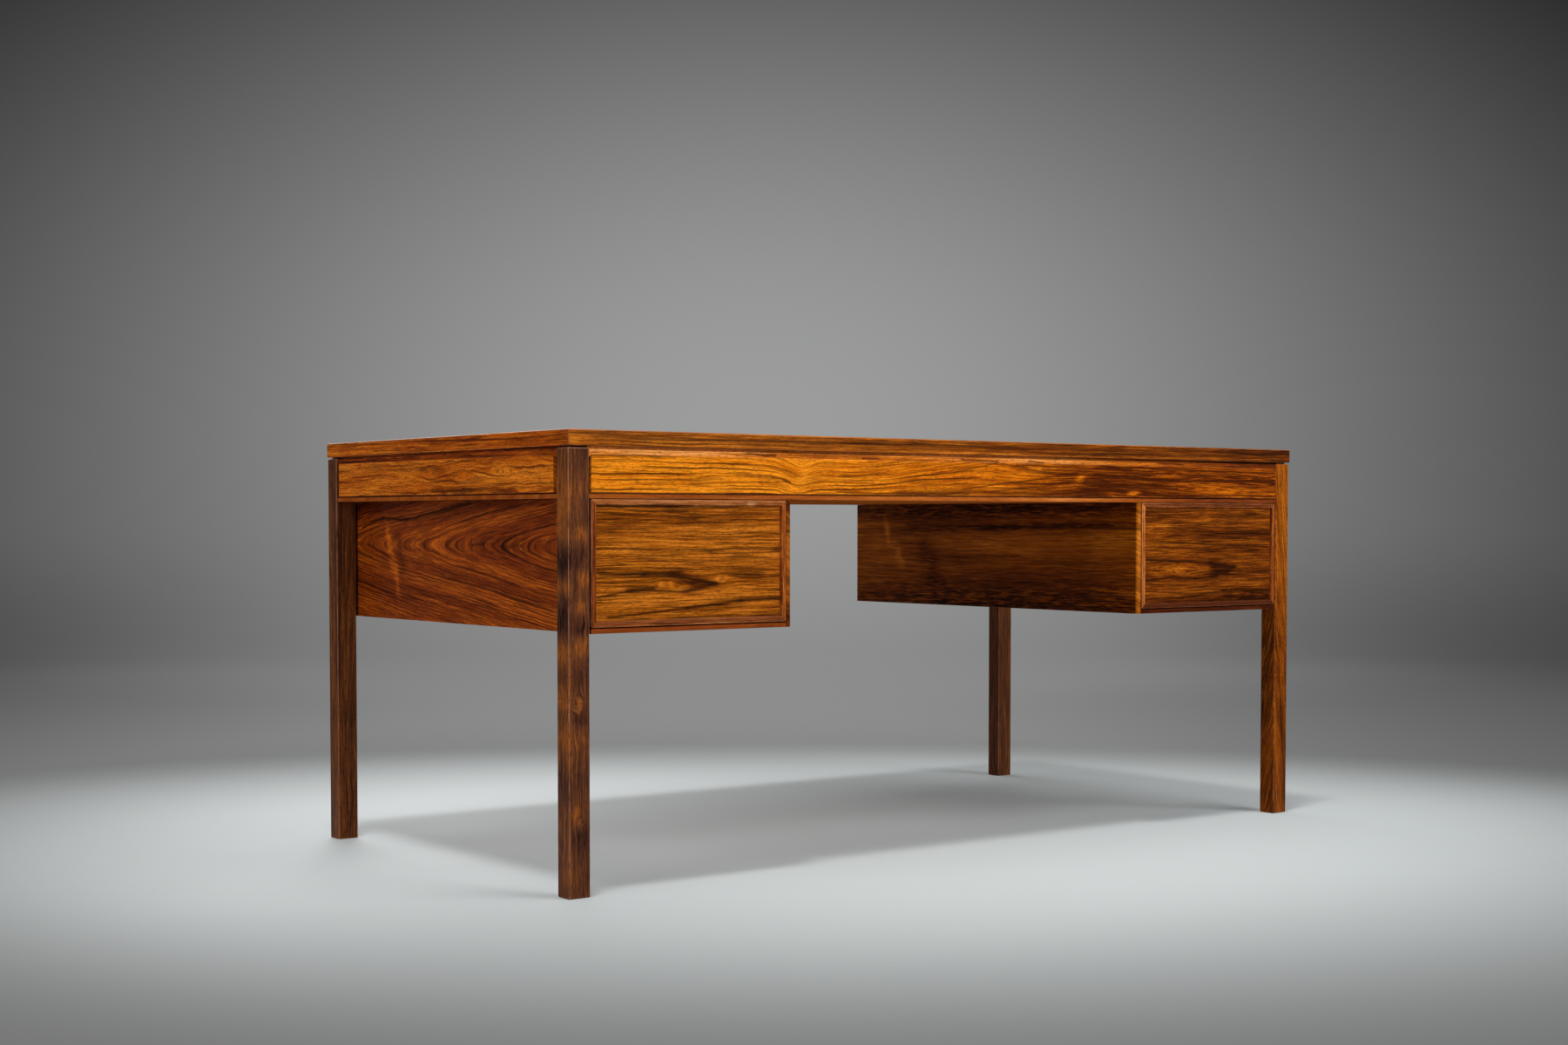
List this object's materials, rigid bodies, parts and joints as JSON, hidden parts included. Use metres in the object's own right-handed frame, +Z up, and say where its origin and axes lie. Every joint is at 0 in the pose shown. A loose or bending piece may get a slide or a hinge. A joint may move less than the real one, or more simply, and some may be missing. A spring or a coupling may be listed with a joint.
{
  "type": "executive desk",
  "caption": "Free-standing rosewood pedestal desk with a flush top on square legs, shallow drawers in its frieze and deep framed drawers in hanging boxes beside a kneehole.",
  "frame": {"origin": "on the floor under the centre of the top", "axes": "+X along the length of the desk, +Y towards the sitter's side, +Z up"},
  "size_m": [1.7, 0.852, 0.733],
  "materials": {
    "rosewood_top": "rosewood veneer, satin lacquer",
    "rosewood_solid": "solid rosewood, satin lacquer, eased edges",
    "rosewood_veneer": "figured rosewood veneer, satin lacquer",
    "drawer_lining": "pale hardwood, thin matt lacquer"
  },
  "bodies": {
    "desk": {"frieze_divider_left": "rosewood_veneer", "frieze_divider_right": "rosewood_veneer", "frieze_floor": "rosewood_solid", "frieze_rail_front": "rosewood_veneer", "frieze_rail_left": "rosewood_veneer", "frieze_rail_right": "rosewood_veneer", "leg_front_left": "rosewood_solid", "leg_front_right": "rosewood_solid", "leg_rear_left": "rosewood_solid", "leg_rear_right": "rosewood_solid", "pedestal_left_floor": "rosewood_veneer", "pedestal_left_inner_side": "rosewood_veneer", "pedestal_left_outer_side": "rosewood_veneer", "pedestal_right_floor": "rosewood_veneer", "pedestal_right_inner_side": "rosewood_veneer", "pedestal_right_outer_side": "rosewood_veneer", "top_lipping_front": "rosewood_solid", "top_lipping_left": "rosewood_solid", "top_lipping_rear": "rosewood_solid", "top_lipping_right": "rosewood_solid", "top_panel": "rosewood_top"},
    "deep_drawer_front_left": {"deep_drawer_front_left_back": "drawer_lining", "deep_drawer_front_left_bottom": "drawer_lining", "deep_drawer_front_left_frame": "rosewood_solid", "deep_drawer_front_left_left_side": "drawer_lining", "deep_drawer_front_left_panel": "rosewood_veneer", "deep_drawer_front_left_right_side": "drawer_lining"},
    "deep_drawer_front_right": {"deep_drawer_front_right_back": "drawer_lining", "deep_drawer_front_right_bottom": "drawer_lining", "deep_drawer_front_right_frame": "rosewood_solid", "deep_drawer_front_right_left_side": "drawer_lining", "deep_drawer_front_right_panel": "rosewood_veneer", "deep_drawer_front_right_right_side": "drawer_lining"},
    "deep_drawer_rear_left": {"deep_drawer_rear_left_back": "drawer_lining", "deep_drawer_rear_left_bottom": "drawer_lining", "deep_drawer_rear_left_frame": "rosewood_solid", "deep_drawer_rear_left_left_side": "drawer_lining", "deep_drawer_rear_left_panel": "rosewood_veneer", "deep_drawer_rear_left_right_side": "drawer_lining"},
    "deep_drawer_rear_right": {"deep_drawer_rear_right_back": "drawer_lining", "deep_drawer_rear_right_bottom": "drawer_lining", "deep_drawer_rear_right_frame": "rosewood_solid", "deep_drawer_rear_right_left_side": "drawer_lining", "deep_drawer_rear_right_panel": "rosewood_veneer", "deep_drawer_rear_right_right_side": "drawer_lining"},
    "frieze_drawer_centre": {"frieze_drawer_centre_back": "drawer_lining", "frieze_drawer_centre_bottom": "drawer_lining", "frieze_drawer_centre_front": "rosewood_veneer", "frieze_drawer_centre_left_side": "drawer_lining", "frieze_drawer_centre_right_side": "drawer_lining"},
    "frieze_drawer_left": {"frieze_drawer_left_back": "drawer_lining", "frieze_drawer_left_bottom": "drawer_lining", "frieze_drawer_left_front": "rosewood_veneer", "frieze_drawer_left_left_side": "drawer_lining", "frieze_drawer_left_right_side": "drawer_lining"},
    "frieze_drawer_right": {"frieze_drawer_right_back": "drawer_lining", "frieze_drawer_right_bottom": "drawer_lining", "frieze_drawer_right_front": "rosewood_veneer", "frieze_drawer_right_left_side": "drawer_lining", "frieze_drawer_right_right_side": "drawer_lining"}
  },
  "joints": [
    {"name": "deep_drawer_front_left_slide", "type": "slide", "parent": "desk", "child": "deep_drawer_front_left", "axis": [0, -1, 0], "range_m": [0, 0.3]},
    {"name": "deep_drawer_front_right_slide", "type": "slide", "parent": "desk", "child": "deep_drawer_front_right", "axis": [0, -1, 0], "range_m": [0, 0.3]},
    {"name": "deep_drawer_rear_left_slide", "type": "slide", "parent": "desk", "child": "deep_drawer_rear_left", "axis": [0, 1, 0], "range_m": [0, 0.3]},
    {"name": "deep_drawer_rear_right_slide", "type": "slide", "parent": "desk", "child": "deep_drawer_rear_right", "axis": [0, 1, 0], "range_m": [0, 0.3]},
    {"name": "frieze_drawer_centre_slide", "type": "slide", "parent": "desk", "child": "frieze_drawer_centre", "axis": [0, 1, 0], "range_m": [0, 0.42]},
    {"name": "frieze_drawer_left_slide", "type": "slide", "parent": "desk", "child": "frieze_drawer_left", "axis": [0, 1, 0], "range_m": [0, 0.42]},
    {"name": "frieze_drawer_right_slide", "type": "slide", "parent": "desk", "child": "frieze_drawer_right", "axis": [0, 1, 0], "range_m": [0, 0.42]}
  ]
}
